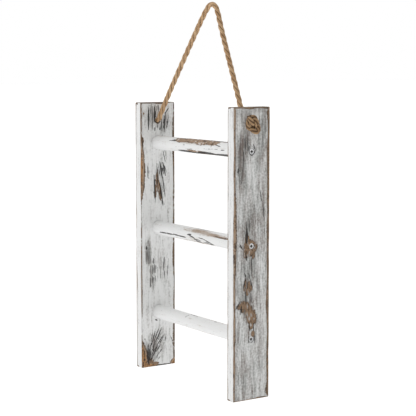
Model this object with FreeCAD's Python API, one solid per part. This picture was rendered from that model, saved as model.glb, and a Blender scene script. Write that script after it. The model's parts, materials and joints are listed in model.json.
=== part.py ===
import FreeCAD
import Part

import os
from math import asin, atan2, cos, degrees, hypot, pi, radians, sin, tan

from FreeCAD import Vector

# A wall-hung towel ladder: two flat wooden rails, three round rungs screwed on from outside,
# and one rope that runs through both rails and is knotted on their outer faces.
# Millimetres. The origin is the hanging point, under the rope's bend, where a wall hook carries it.
# +X is the ladder's right, -Y its front, +Y the wall, +Z up.

# Overall sizes
OVERALL_WIDTH = 264.2
OVERALL_HEIGHT = 558.8

# Rails
RAIL_HEIGHT = 410.0
RAIL_DEPTH = 61.0
RAIL_THICKNESS = 16.0
RAIL_EDGE_RADIUS = 1.5

# Rungs, counted upwards from the bottom one
RUNG_NAMES = ("bottom", "middle", "top")
RUNG_DIAMETER = 21.0
RUNG_GAP = 110.0
BOTTOM_RUNG_HEIGHT = 86.5
SOCKET_DEPTH = 5.0
SOCKET_CLEARANCE = 0.2

# Flat-head wood screws, one in each rung end
SCREW_LENGTH = 38.0
SCREW_DIAMETER = 4.0
SCREW_POINT_LENGTH = 5.0
SCREW_HEAD_DIAMETER = 8.0
SCREW_HEAD_ANGLE = 90.0
SCREW_RIM = 0.4
SCREW_SINK = 1.0
SCREW_CLEARANCE = 0.2
SCREW_BOTTOM_GAP = 2.0
RECESS_SPAN = 4.4
RECESS_WIDTH = 1.2
RECESS_DEPTH = 1.8

# Rope: the ladder's middle hangs this far in front of the hook
ROPE_DIAMETER = 7.0
ROPE_HOLE_DIAMETER = 10.0
ROPE_HOLE_DROP = 28.0
HANGING_SETBACK = 22.6

# Route of half the rope, as steps sideways and along the loop:
# first out of the rail's inner face, then over the hook
EXIT_POINTS = ((-1.6, 0.0), (-6.2, 2.6))
HOOK_POINTS = ((9.65, -3.5), (3.5, 0.0))
ARC_SHARE = 0.45

# Overhand knots: a three-lobed rope path that begins at the hole and ends in a short tail
KNOT_ROPE_DIAMETER = 6.2
KNOT_RADIUS = 8.25
KNOT_LOBE = 4.0
KNOT_WEAVE = 3.75
KNOT_CLEARANCE = 0.3
KNOT_TURN = radians(300.0)
KNOT_START = 0.1
KNOT_TAIL_CUT = 0.7
KNOT_FINISH = 5 * pi / 3 - KNOT_TAIL_CUT
KNOT_POINTS = 19
KNOT_LEAD = 2.0
KNOT_RISE = 3.0
KNOT_TAIL_LENGTH = 9.5
KNOT_TAIL_DIP = 0.6
GAP_POINTS = 400
GAP_SKIP = 1.6

# Places that several pieces share
OUTER_X = OVERALL_WIDTH / 2
INNER_X = OUTER_X - RAIL_THICKNESS
MIDDLE_Y = -HANGING_SETBACK
FEET_Z = ROPE_DIAMETER - OVERALL_HEIGHT
HOLE_Z = FEET_Z + RAIL_HEIGHT - ROPE_HOLE_DROP
RUNG_PITCH = RUNG_GAP + RUNG_DIAMETER
RUNG_Z = {name: FEET_Z + BOTTOM_RUNG_HEIGHT + k * RUNG_PITCH for k, name in enumerate(RUNG_NAMES)}
SIDES = {"left": -1, "right": 1}
CROSSWAYS = Vector(1, 0, 0)


def cylinder(diameter, start, end):
    """A round bar between two points."""
    return Part.makeCylinder(diameter / 2, start.distanceToPoint(end), start, end - start)


def screw_axis(side, height):
    """The point where a screw's axis meets a rail's outer face, and the direction into the wood."""
    return Vector(side * OUTER_X, MIDDLE_Y, height), Vector(-side, 0, 0)


def screw_body(side, height, swell, length):
    """The turned outline of a screw, or with a swell the hole that it goes into."""
    seat, inwards = screw_axis(side, height)
    head_radius = SCREW_HEAD_DIAMETER / 2 + swell
    shank_radius = SCREW_DIAMETER / 2 + swell
    cone_depth = (head_radius - shank_radius) / tan(radians(SCREW_HEAD_ANGLE / 2))
    outline = [
        (0, SCREW_SINK),
        (head_radius, SCREW_SINK),
        (head_radius, SCREW_SINK + SCREW_RIM),
        (shank_radius, SCREW_SINK + SCREW_RIM + cone_depth),
        (shank_radius, SCREW_SINK + length - SCREW_POINT_LENGTH),
        (0, SCREW_SINK + length),
    ]
    corners = [seat + inwards * depth + Vector(0, 0, radius) for radius, depth in outline]
    face = Part.Face(Part.makePolygon(corners + corners[:1]))
    return face.revolve(seat, inwards, 360)


def screw(side, height):
    """A flat-head screw with a crossed recess, sunk below the rail's outer face."""
    seat, inwards = screw_axis(side, height)
    floor = seat + inwards * (SCREW_SINK + RECESS_DEPTH)
    solid = screw_body(side, height, 0, SCREW_LENGTH)
    for wide, tall in ((RECESS_SPAN, RECESS_WIDTH), (RECESS_WIDTH, RECESS_SPAN)):
        near_x = min(floor.x, floor.x + side * RECESS_DEPTH)
        corner = Vector(near_x, floor.y - wide / 2, floor.z - tall / 2)
        solid = solid.cut(Part.makeBox(RECESS_DEPTH, wide, tall, corner))
    return solid


def screw_hole(side, height):
    """What a screw takes out of the rail and the rung, with its clearance and the sunk mouth."""
    seat, inwards = screw_axis(side, height)
    mouth_diameter = SCREW_HEAD_DIAMETER + 2 * SCREW_CLEARANCE
    mouth = cylinder(mouth_diameter, seat - inwards, seat + inwards * (SCREW_SINK + SCREW_RIM))
    return mouth.fuse(screw_body(side, height, SCREW_CLEARANCE, SCREW_LENGTH + SCREW_BOTTOM_GAP))


def rail(side):
    """One flat rail with eased edges, its rope hole, and a socket and a screw hole for each rung."""
    near_x = min(side * INNER_X, side * OUTER_X)
    corner = Vector(near_x, MIDDLE_Y - RAIL_DEPTH / 2, FEET_Z)
    solid = Part.makeBox(RAIL_THICKNESS, RAIL_DEPTH, RAIL_HEIGHT, corner)
    solid = solid.makeFillet(RAIL_EDGE_RADIUS, solid.Edges)
    inner = Vector(side * INNER_X, MIDDLE_Y, HOLE_Z)
    outer = Vector(side * OUTER_X, MIDDLE_Y, HOLE_Z)
    solid = solid.cut(cylinder(ROPE_HOLE_DIAMETER, inner, outer))
    for height in RUNG_Z.values():
        mouth = Vector(side * INNER_X, MIDDLE_Y, height)
        socket = cylinder(RUNG_DIAMETER + SOCKET_CLEARANCE, mouth, mouth + CROSSWAYS * side * SOCKET_DEPTH)
        solid = solid.cut(socket).cut(screw_hole(side, height))
    return solid


def rung(height):
    """A round rung that reaches the floor of both sockets, bored at each end for its screw."""
    reach = Vector(INNER_X + SOCKET_DEPTH, 0, 0)
    middle = Vector(0, MIDDLE_Y, height)
    solid = cylinder(RUNG_DIAMETER, middle - reach, middle + reach)
    for side in SIDES.values():
        solid = solid.cut(screw_hole(side, height))
    return solid


def rounded_path(points):
    """Straight runs joined by tangent arcs, each as large as its two runs allow, and the arcs' radii."""
    edges = []
    radii = []
    start = points[0]
    for before, corner, after in zip(points, points[1:], points[2:]):
        back = before - corner
        ahead = after - corner
        cut = ARC_SHARE * min(back.Length, ahead.Length)
        half_turn = (pi - back.getAngle(ahead)) / 2
        radius = cut / tan(half_turn)
        arc_start = corner + back.normalize() * cut
        arc_end = corner + ahead.normalize() * cut
        inwards = (back + ahead).normalize()
        arc_middle = corner + inwards * (radius / cos(half_turn) - radius)
        edges.append(Part.LineSegment(start, arc_start).toShape())
        edges.append(Part.Arc(arc_start, arc_middle, arc_end).toShape())
        radii.append(radius)
        start = arc_end
    edges.append(Part.LineSegment(start, points[-1]).toShape())
    return Part.Wire(edges), radii


def rope_tube(name, points, diameter):
    """A round tube along a route, with its radii and its volume against section times length."""
    path, radii = rounded_path(points)
    section = Part.Wire(Part.makeCircle(diameter / 2, points[0], points[1] - points[0]))
    solid = path.makePipeShell([section], True, False)
    expected = pi * diameter ** 2 / 4 * path.Length
    print(name, "length", round(path.Length, 1), "radii", [round(radius, 1) for radius in radii])
    print(name, "volume share", round(solid.Volume / expected, 4), "valid", solid.isValid())
    return solid, path


def least_gap(path, diameter):
    """The smallest clear distance of a tube to itself, between points well apart along its line."""
    points = path.discretize(Number=GAP_POINTS)
    skip = int(GAP_SKIP * diameter * GAP_POINTS / path.Length)
    distances = [a.distanceToPoint(b) for k, a in enumerate(points) for b in points[k + skip:]]
    return min(distances) - diameter


def loop_point(sideways, along):
    """A point of the hanging loop, which lies in one plane through both holes and over the hook."""
    rise = ROPE_DIAMETER / 2 - HOLE_Z
    reach = hypot(HANGING_SETBACK, rise)
    lean = Vector(0, HANGING_SETBACK / reach, rise / reach)
    return Vector(sideways, MIDDLE_Y, HOLE_Z) + lean * along


def hanging_rope():
    """The rope from knot to knot: through one rail, up over the hook and down through the other."""
    apex = hypot(HANGING_SETBACK, ROPE_DIAMETER / 2 - HOLE_Z)
    half = [(OUTER_X + KNOT_CLEARANCE, 0)]
    half += [(INNER_X + step, along) for step, along in EXIT_POINTS]
    half += [(sideways, apex + along) for sideways, along in HOOK_POINTS]
    route = [loop_point(-sideways, along) for sideways, along in half]
    route += [loop_point(sideways, along) for sideways, along in reversed(half)]
    return rope_tube("hanging_rope", route, ROPE_DIAMETER)[0]


def knot_weave(angle):
    """One point of the knot's three-lobed line: across the face, up it, and out from it."""
    radius = KNOT_RADIUS - KNOT_LOBE * cos(3 * angle)
    turn = KNOT_TURN + 2 * angle
    return Vector(radius * cos(turn), radius * sin(turn), KNOT_WEAVE * sin(3 * angle))


def knot(side):
    """An overhand knot that stops the rope on a rail's outer face."""
    step = (KNOT_FINISH - KNOT_START) / (KNOT_POINTS - 1)
    line = [knot_weave(KNOT_START + k * step) for k in range(KNOT_POINTS)]
    lead_direction = Vector(-sin(KNOT_TURN), cos(KNOT_TURN), 0)
    foot = knot_weave(0) - lead_direction * KNOT_LEAD
    foot.z = -KNOT_WEAVE - KNOT_ROPE_DIAMETER / 2
    tail_direction = (line[-1] - line[-2]).normalize()
    tail = line[-1] + tail_direction * KNOT_TAIL_LENGTH - Vector(0, 0, KNOT_TAIL_DIP)
    line = [foot, foot + Vector(0, 0, KNOT_RISE)] + line + [tail]
    seat = Vector(side * (OUTER_X + KNOT_CLEARANCE), MIDDLE_Y, HOLE_Z)
    route = [seat + Vector(side * (p.z - foot.z), p.x - foot.x, p.y - foot.y) for p in line]
    name = "right_knot" if side > 0 else "left_knot"
    solid, path = rope_tube(name, route, KNOT_ROPE_DIAMETER)
    print(name, "least gap to itself", round(least_gap(path, KNOT_ROPE_DIAMETER), 2))
    return solid


pieces = {}
for side_name, side in SIDES.items():
    pieces[side_name + "_rail"] = rail(side)
    pieces[side_name + "_knot"] = knot(side)
    for rung_name, height in RUNG_Z.items():
        pieces[rung_name + "_" + side_name + "_screw"] = screw(side, height)
for rung_name, height in RUNG_Z.items():
    pieces[rung_name + "_rung"] = rung(height)
pieces["hanging_rope"] = hanging_rope()

os.makedirs("parts", exist_ok=True)
for name, shape in pieces.items():
    shape.exportStep("parts/" + name + ".step")

lean = degrees(atan2(HANGING_SETBACK, ROPE_DIAMETER / 2 - HOLE_Z))
fold = degrees(asin((RUNG_DIAMETER + ROPE_DIAMETER) / 2 / (HOLE_Z - RUNG_Z["top"])))
print("rope leans back", round(lean, 2), "degrees and meets the top rung", round(fold, 2), "degrees from it")
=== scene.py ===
# %% [markdown]
# # A wall-hung towel ladder
#
# Two flat whitewashed rails carry three round rungs, and one jute rope runs through both rails and over a
# wall hook. The imported model gives every piece's place, so this lesson loads it first and then dresses
# each piece in turn: rope, rails, rungs and screws.

# %% Load the frame
import json
import random
from math import cos, pi, radians, sin

import bmesh
import bpy
import numpy as np
from mathutils import Euler, Matrix, Vector, kdtree, noise


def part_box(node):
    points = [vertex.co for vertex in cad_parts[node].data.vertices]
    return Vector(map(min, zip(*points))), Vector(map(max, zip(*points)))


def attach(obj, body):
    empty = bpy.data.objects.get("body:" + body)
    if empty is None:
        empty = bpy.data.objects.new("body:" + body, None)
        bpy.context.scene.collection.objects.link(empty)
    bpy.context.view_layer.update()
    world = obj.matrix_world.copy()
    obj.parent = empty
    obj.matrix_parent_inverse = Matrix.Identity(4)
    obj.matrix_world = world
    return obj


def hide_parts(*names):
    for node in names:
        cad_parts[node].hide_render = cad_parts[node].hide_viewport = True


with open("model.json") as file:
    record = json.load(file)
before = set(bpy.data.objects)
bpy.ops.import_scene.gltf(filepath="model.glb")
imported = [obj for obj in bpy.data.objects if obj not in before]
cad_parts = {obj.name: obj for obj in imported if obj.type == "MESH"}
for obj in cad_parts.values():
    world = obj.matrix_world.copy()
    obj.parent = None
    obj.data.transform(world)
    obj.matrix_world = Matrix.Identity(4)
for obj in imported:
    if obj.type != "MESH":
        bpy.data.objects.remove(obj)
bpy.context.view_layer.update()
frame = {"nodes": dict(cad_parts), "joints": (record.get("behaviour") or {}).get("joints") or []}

# %% [markdown]
# ## Where things are
#
# The right rail's box and the swing's axis say all that the other pieces need. The axis runs through both
# rope holes, so its point is the middle of the holes. The rungs' boxes give their heights.

# %% Places shared by the pieces
MM = 0.001
SIDES = {"left": -1, "right": 1}
RUNG_NAMES = ("bottom", "middle", "top")

rail_low, rail_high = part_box("right_rail")
rail_size = rail_high - rail_low
hole = Vector(frame["joints"][0]["pos_m"])
outer_x = rail_high.x
inner_x = rail_low.x
middle_y = hole.y
feet_z = rail_low.z
middle_z = (feet_z + rail_high.z) / 2
rung_boxes = {name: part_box(name + "_rung") for name in RUNG_NAMES}
rung_heights = {name: (low.z + high.z) / 2 for name, (low, high) in rung_boxes.items()}
print("rail", list(rail_size), "hole", list(hole), "rungs", rung_heights)

# %% [markdown]
# ## Camera
#
# The photograph was taken from the ladder's right front with a long lens, looking a little down. The place,
# turn and lens come from fitting a camera to the rails' corners at their real size.

# %% Set up the camera
CAMERA_PLACE = (1.5976, -1.0675, -0.0800)
CAMERA_TURN = radians(56.44)
CAMERA_DIP = radians(6.377)
CAMERA_LENS = 113.63
SENSOR_WIDTH = 36.0

camera_data = bpy.data.cameras.new("camera")
camera_data.lens = CAMERA_LENS
camera_data.sensor_width = SENSOR_WIDTH
camera = bpy.data.objects.new("camera", camera_data)
camera.location = CAMERA_PLACE
camera.rotation_euler = Euler((pi / 2 - CAMERA_DIP, 0, CAMERA_TURN))
bpy.context.scene.collection.objects.link(camera)
bpy.context.scene.camera = camera
print("camera", CAMERA_PLACE, "lens", CAMERA_LENS)

# %% [markdown]
# ## Helpers for objects and curves
#
# A curve becomes a mesh through Blender's own evaluation, which is also how the points along a smooth
# spline are read. The same step applies a piece's modifiers. A sweep leaves its caps loose and its skin
# turned in, and a cut can leave a sliver or a small gap, so a mesh that comes out of either is closed. A
# cut's points come in no fixed order, so they are sorted first, and the same doubles are merged each run.

# %% Objects, curves and their meshes
MERGE_REACH = 0.01 * MM


def add_object(name, data):
    """Links a new object at the origin, with its place in its data."""
    piece = bpy.data.objects.new(name, data)
    bpy.context.scene.collection.objects.link(piece)
    return piece


def mesh_of(piece):
    """The piece's mesh as evaluated, with its modifiers and bevels applied."""
    return bpy.data.meshes.new_from_object(piece.evaluated_get(bpy.context.evaluated_depsgraph_get()))


def closed(mesh):
    """The mesh with its doubles merged, its small gaps filled and its faces turned outwards."""
    shape = bmesh.new()
    shape.from_mesh(mesh)
    in_order = sorted(shape.verts, key=lambda vertex: vertex.co[:])
    bmesh.ops.remove_doubles(shape, verts=in_order, dist=MERGE_REACH)
    rims = [edge for edge in shape.edges if edge.is_boundary]
    bmesh.ops.holes_fill(shape, edges=rims, sides=4)
    bmesh.ops.recalc_face_normals(shape, faces=shape.faces)
    shape.to_mesh(mesh)
    shape.free()
    return mesh


def drop(*pieces):
    """Removes helper objects that have done their work."""
    for piece in pieces:
        bpy.data.objects.remove(piece)


def add_spline(curve, kind, places):
    """Adds a spline with one point at each place."""
    spline = curve.splines.new(kind)
    spline.points.add(len(places) - 1)
    for point, place in zip(spline.points, places):
        point.co = (*place, 1)
    return spline


def smooth_line(controls, resolution):
    """Points along the NURBS spline that has these control points."""
    curve = bpy.data.curves.new("line", "CURVE")
    curve.dimensions = "3D"
    curve.resolution_u = resolution
    spline = add_spline(curve, "NURBS", controls)
    spline.order_u = 3
    spline.use_endpoint_u = True
    holder = add_object("line", curve)
    points = [vertex.co.copy() for vertex in mesh_of(holder).vertices]
    drop(holder)
    return points


# %% [markdown]
# ## The rope's route
#
# The rope comes out of a hole, turns up over the hole's edge, runs nearly straight to the hook and bends
# over it. It hangs in one plane that leans back from the holes to the hook. Each side's points are given
# across from the middle and along the plane from the holes, in millimetres. They follow this rope, which
# hangs a little to the left. A NURBS spline on few points bends as rope does, and a point about 42 mm from
# each bend keeps the run between them straight.

# %% Route of the hanging rope
ROPE_DIAMETER = 7.0 * MM
ROPE_RESOLUTION = 40
KNOT_CLEARANCE = 0.3 * MM
LEFT_RUN = ((-114.9, 0.0), (-112.1, 5.0), (-93.0, 41.0), (-33.0, 138.0), (-17.0, 161.5), (-8.0, 172.0))
RIGHT_RUN = ((114.9, 0.0), (112.1, 5.0), (90.9, 41.0), (29.8, 137.0), (16.0, 163.0), (4.0, 174.2))

hook = Vector((0, 0, ROPE_DIAMETER / 2))
loop_up = (hook - hole).normalized()
knot_x = outer_x + KNOT_CLEARANCE


def loop_point(sideways, along):
    """A point of the hanging loop's plane."""
    return Vector((sideways, hole.y, hole.z)) + loop_up * along


rope_route = [loop_point(-knot_x, 0)]
rope_route += [loop_point(sideways * MM, along * MM) for sideways, along in LEFT_RUN]
rope_route += [loop_point(sideways * MM, along * MM) for sideways, along in reversed(RIGHT_RUN)]
rope_route += [loop_point(knot_x, 0)]
rope_line = smooth_line(rope_route, ROPE_RESOLUTION)
rope_length = sum((b - a).length for a, b in zip(rope_line, rope_line[1:]))
print("rope route points", len(rope_route), "length", round(rope_length, 4))

# %% [markdown]
# ## Twisted strands
#
# Laid rope is three strands that wind round each other, and each strand is a bundle of yarns. A strand's
# line is a helix about the rope's line; a lobed section swept along it, and turned the other way as it
# goes, shows the yarns. Blender's curve bevel does the sweep and leaves a map that runs along and around
# each strand. An attribute holds how deep a point lies between the strands, and the finish paints shade
# into the grooves from it.

# %% Even steps and a steady frame along a line
STRAND_STEP = 1.1 * MM


def even_points(line, step):
    """Points at an even distance along a line."""
    placed = [line[0].copy()]
    gone = 0.0
    wanted = step
    for a, b in zip(line, line[1:]):
        span = (b - a).length
        while span > 0 and wanted <= gone + span:
            placed.append(a.lerp(b, (wanted - gone) / span))
            wanted += step
        gone += span
    return placed


def carried_frames(points):
    """Two directions across the line at each point, carried along it without twisting."""
    after = points[1:] + points[-1:]
    before = points[:1] + points[:-1]
    tangents = [(b - a).normalized() for a, b in zip(before, after)]
    side = tangents[0].orthogonal().normalized()
    frames = []
    for tangent in tangents:
        side = (side - tangent * side.dot(tangent)).normalized()
        frames.append((side.copy(), tangent.cross(side)))
    return frames


print("steps along the rope", len(even_points(rope_line, STRAND_STEP)))

# %% Helices of the strands
LAY_LENGTH = 38 * MM
STRAND_COUNT = 3
STRAND_OFFSET = 0.25


def strand_lines(line, diameter, lay):
    """The helices of a rope's strands, wound to the left, one turn for each lay length."""
    points = even_points(line, STRAND_STEP)
    frames = carried_frames(points)
    lines = []
    for strand in range(STRAND_COUNT):
        helix = []
        for k, (point, (side, across)) in enumerate(zip(points, frames)):
            angle = -2 * pi * (k * STRAND_STEP / lay + strand / STRAND_COUNT)
            helix.append(point + (side * cos(angle) + across * sin(angle)) * STRAND_OFFSET * diameter)
        lines.append(helix)
    return lines


print("turns of the strands", round(rope_length / LAY_LENGTH, 1))

# %% Lobed section of a strand
STRAND_RADIUS = 0.295
YARNS = 7
YARN_RELIEF = 0.08
SECTION_POINTS = 28


def yarn_section(radius):
    """A closed outline with one lobe for each yarn on a strand's skin."""
    curve = bpy.data.curves.new("section", "CURVE")
    curve.dimensions = "2D"
    outline = []
    for k in range(SECTION_POINTS):
        angle = 2 * pi * k / SECTION_POINTS
        swell = radius * (1 + YARN_RELIEF * cos(YARNS * angle))
        outline.append((swell * cos(angle), swell * sin(angle), 0))
    add_spline(curve, "POLY", outline).use_cyclic_u = True
    return add_object("section", curve)


print("strand radius", round(STRAND_RADIUS * ROPE_DIAMETER / MM, 2), "mm")

# %% Sweep the hanging rope
YARN_TURNS = 0.7


def swept_strands(name, line, diameter, lay):
    """One mesh of strands swept along their helices."""
    section = yarn_section(STRAND_RADIUS * diameter)
    curve = bpy.data.curves.new(name, "CURVE")
    curve.dimensions = "3D"
    curve.bevel_mode = "OBJECT"
    curve.bevel_object = section
    curve.use_fill_caps = True
    for helix in strand_lines(line, diameter, lay):
        for k, point in enumerate(add_spline(curve, "POLY", helix).points):
            point.tilt = 2 * pi * YARN_TURNS * k * STRAND_STEP / lay
    holder = add_object(name + "_curve", curve)
    mesh = closed(mesh_of(holder))
    mesh.name = name
    drop(holder, section)
    return mesh


def store(mesh, name, values):
    """Keeps one number for each point of a mesh."""
    mesh.attributes.new(name, "FLOAT", "POINT").data.foreach_set("value", values.astype(np.float32))


def mark_grooves(mesh, line, diameter, shade):
    """Stores each point's depth between strands, 0 on the skin, 1 at the core, plus extra painted shade."""
    tree = kdtree.KDTree(len(line))
    for k, point in enumerate(line):
        tree.insert(point, k)
    tree.balance()
    depths = [1 + shade - tree.find(vertex.co)[2] / (diameter / 2) for vertex in mesh.vertices]
    store(mesh, "groove_shade", np.array(depths))
    mesh.shade_smooth()


def laid_rope(name, line, diameter, lay, shade):
    """A finished length of three-strand rope, whose grooves get more painted shade by the given amount."""
    mesh = swept_strands(name, line, diameter, lay)
    mark_grooves(mesh, even_points(line, STRAND_STEP / 2), diameter, shade)
    print(name, "faces", len(mesh.polygons))
    return add_object(name, mesh)


rope = laid_rope("rope", rope_line, ROPE_DIAMETER, LAY_LENGTH, 0)

# %% [markdown]
# ## The knots
#
# An overhand knot stops the rope on each outer face. Its line has three lobes: the distance from the
# knot's middle swells three times while the line goes twice round, and it weaves in and out as it goes.
# It begins at the hole and ends in a short cut tail. A knot could be drawn point by point, but the formula
# keeps its strands apart and makes both knots alike.

# %% Line of an overhand knot
KNOT_ROPE_DIAMETER = 6.4 * MM
KNOT_RADIUS = 8.0 * MM
KNOT_LOBE = 3.9 * MM
KNOT_WEAVE = 3.75 * MM
KNOT_LOBES = 3
KNOT_ROUNDS = 2
KNOT_START = 0.1
KNOT_FINISH = 5 * pi / 3 - 0.7
KNOT_POINTS = 19
KNOT_RESOLUTION = 16
KNOT_NARROW = 0.70
KNOT_TALL = 1.18
KNOT_FORWARD = 3.8 * MM
KNOT_LIFT = 1.4 * MM
KNOT_RISE = 3.0 * MM
KNOT_LAY = 25 * MM
# Extra painted shade in the knots' grooves, deeper than on the hanging rope
KNOT_SHADE = 0.22
KNOT_TAIL = Vector((-5.5, 12.5, 0.8)) * MM


def knot_weave(angle):
    """One point of the knot's line: across the face, up it, and out from it."""
    radius = KNOT_RADIUS - KNOT_LOBE * cos(KNOT_LOBES * angle)
    turn = KNOT_ROUNDS * angle
    return Vector((radius * cos(turn), radius * sin(turn), KNOT_WEAVE * sin(KNOT_LOBES * angle)))


def knot_route(side):
    """Route points of the knot on one rail's outer face, from the hole to the tail."""
    step = (KNOT_FINISH - KNOT_START) / (KNOT_POINTS - 1)
    line = [knot_weave(KNOT_START + k * step) for k in range(KNOT_POINTS)]
    line = [Vector((p.x * KNOT_NARROW - KNOT_FORWARD, p.y * KNOT_TALL + KNOT_LIFT, p.z)) for p in line]
    foot = Vector((0, 0, -KNOT_WEAVE - KNOT_ROPE_DIAMETER / 2))
    line = [foot, foot + Vector((0, 0, KNOT_RISE))] + line + [line[-1] + KNOT_TAIL]
    seat = Vector((side * knot_x, hole.y, hole.z))
    return [seat + Vector((side * (p.z - foot.z), p.x, p.y)) for p in line]


print("knot route points", len(knot_route(SIDES["right"])))

# %% Tie both knots
knots = {}
for side_name, side in SIDES.items():
    knot_line = smooth_line(knot_route(side), KNOT_RESOLUTION)
    knot_name = side_name + "_rope_knot"
    knots[side_name] = laid_rope(knot_name, knot_line, KNOT_ROPE_DIAMETER, KNOT_LAY, KNOT_SHADE)

# %% [markdown]
# ## The rope's body
#
# Rope and knots hang from the hook as one body, and the ladder turns on them. They could ride on the ladder,
# but then the loop would swing round with it.

# %% Rope pieces ride on the rope
rope_nodes = {"hanging_rope": rope, "left_knot": knots["left"], "right_knot": knots["right"]}
for node, piece in rope_nodes.items():
    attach(piece, "rope_hanger")
    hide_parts(node)
print("rope pieces", list(rope_nodes))

# %% [markdown]
# ## Rails
#
# Each rail is a flat board, painted white and sanded through where hands and corners rub. A cube scaled to
# the board gets its eased edges from a bevel, and its long edges are divided so that the wear has small
# cells to press in. Holes are cut with Boolean modifiers: turned and round cutters take out the rope hole,
# the rungs' sockets and the screws' sunk mouths.

# %% A board in small cells
EDGE_RADIUS = 1.5 * MM
EDGE_STEPS = 3
FULL_RUN = 0.99
CELL = Vector((1.0, 0.75, 1.25)) * MM


def mesh_from(shape, name):
    """Turns a finished bmesh into a mesh and frees it."""
    mesh = bpy.data.meshes.new(name)
    shape.to_mesh(mesh)
    shape.free()
    return mesh


def divide(shape, axis, span, cell):
    """Cuts the edges that run a whole span along an axis into cells."""
    runs = [e for e in shape.edges if abs((e.verts[0].co - e.verts[1].co)[axis]) > FULL_RUN * span]
    bmesh.ops.subdivide_edges(shape, edges=runs, cuts=round(span / cell) - 1, use_grid_fill=True)


def board(low, high):
    """A flat board with eased edges, divided into small cells."""
    shape = bmesh.new()
    bmesh.ops.create_cube(shape, size=1.0)
    bmesh.ops.scale(shape, vec=high - low, verts=shape.verts)
    bmesh.ops.translate(shape, vec=(low + high) / 2, verts=shape.verts)
    bmesh.ops.bevel(
        shape,
        geom=shape.edges[:],
        offset=EDGE_RADIUS,
        affect="EDGES",
        segments=EDGE_STEPS,
        profile=0.5,
        material=-1,
    )
    for axis in (2, 1, 0):
        divide(shape, axis, (high - low)[axis] - 2 * EDGE_RADIUS, CELL[axis])
    return mesh_from(shape, "board")


print("cells along a rail", round(rail_size.z / CELL.z), "and across it", round(rail_size.y / CELL.y))

# %% Cutters for the holes
ROPE_HOLE_RADIUS = 5.0 * MM
SOCKET_RADIUS = 10.6 * MM
SOCKET_DEPTH = 5.0 * MM
CUT_MARGIN = 1 * MM
ROUND_STEPS = 48
BORE_OUTLINE = ((0, -1), (4.2, -1), (4.2, 1.4), (2.2, 3.4), (2.2, 36), (0, 41))


def bar(radius, start_x, end_x, height, steps=ROUND_STEPS):
    """A round bar along X through the rails' middle at a height, as a bmesh."""
    shape = bmesh.new()
    across = Matrix.Rotation(pi / 2, 4, "Y")
    place = Matrix.Translation(((start_x + end_x) / 2, middle_y, height))
    bmesh.ops.create_cone(
        shape,
        cap_ends=True,
        segments=steps,
        radius1=radius,
        radius2=radius,
        depth=abs(end_x - start_x),
        matrix=place @ across,
    )
    return shape


def screw_bore(side, height):
    """The turned hole that a screw goes into, with its sunk mouth at the rail's outer face."""
    seat = Vector((side * outer_x, middle_y, height))
    inwards = Vector((-side, 0, 0))
    shape = bmesh.new()
    outline = [seat + inwards * depth * MM + Vector((0, 0, radius * MM)) for radius, depth in BORE_OUTLINE]
    corners = [shape.verts.new(place) for place in outline]
    edges = [shape.edges.new(pair) for pair in zip(corners, corners[1:])]
    bmesh.ops.spin(
        shape,
        geom=corners + edges,
        cent=seat,
        axis=inwards,
        angle=2 * pi,
        steps=ROUND_STEPS,
        use_merge=True,
    )
    bmesh.ops.remove_doubles(shape, verts=shape.verts, dist=MERGE_REACH)
    bmesh.ops.recalc_face_normals(shape, faces=shape.faces)
    return shape


def carved(mesh, cutters):
    """The mesh with the cutters taken out of it, one after another."""
    piece = add_object("carved", mesh)
    holders = [add_object("cutter", mesh_from(cutter, "cutter")) for cutter in cutters]
    for holder in holders:
        cut = piece.modifiers.new("cut", "BOOLEAN")
        cut.operation = "DIFFERENCE"
        cut.solver = "EXACT"
        cut.object = holder
    result = closed(mesh_of(piece))
    drop(piece, *holders)
    return result


print("screw holes are", BORE_OUTLINE[-1][1], "mm deep")
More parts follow.
